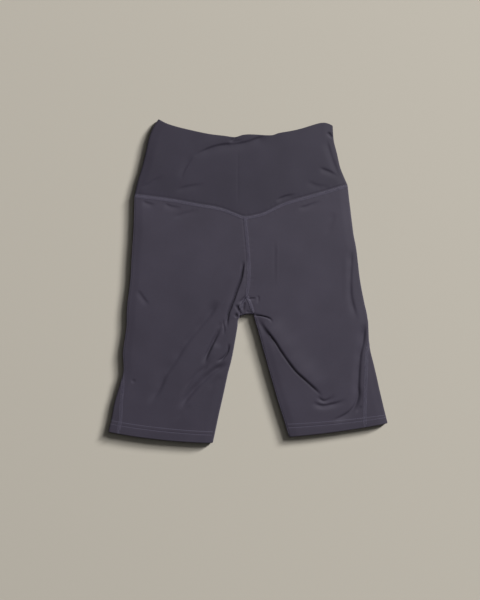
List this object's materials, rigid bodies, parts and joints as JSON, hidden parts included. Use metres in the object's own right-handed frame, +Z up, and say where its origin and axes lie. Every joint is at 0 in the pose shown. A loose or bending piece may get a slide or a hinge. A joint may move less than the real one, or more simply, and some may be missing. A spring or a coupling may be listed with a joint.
{
  "type": "cycling shorts laid flat",
  "caption": "High-rise stretch cycling shorts lying flat, with a wide waistband on a V-shaped yoke seam, a centre seam, a crotch gusset, side seams and turned hems",
  "frame": {"origin": "middle of the rectangle round the laid shorts, on the surface they lie on", "axes": "+X runs across the waist to the picture's right, +Y from the hems up to the waistband, +Z up from the surface"},
  "size_m": [0.4478, 0.5186, 0.0088],
  "materials": {
    "band_cloth": "smooth matt stretch knit, two plies, dark plum grey",
    "leg_cloth": "smooth matt stretch knit, dark plum grey"
  },
  "bodies": {
    "root": {"waistband_upper": "band_cloth", "waistband_under": "band_cloth", "left_leg_upper": "leg_cloth", "right_leg_upper": "leg_cloth", "left_leg_under": "leg_cloth", "right_leg_under": "leg_cloth", "gusset": "leg_cloth"}
  },
  "joints": []
}
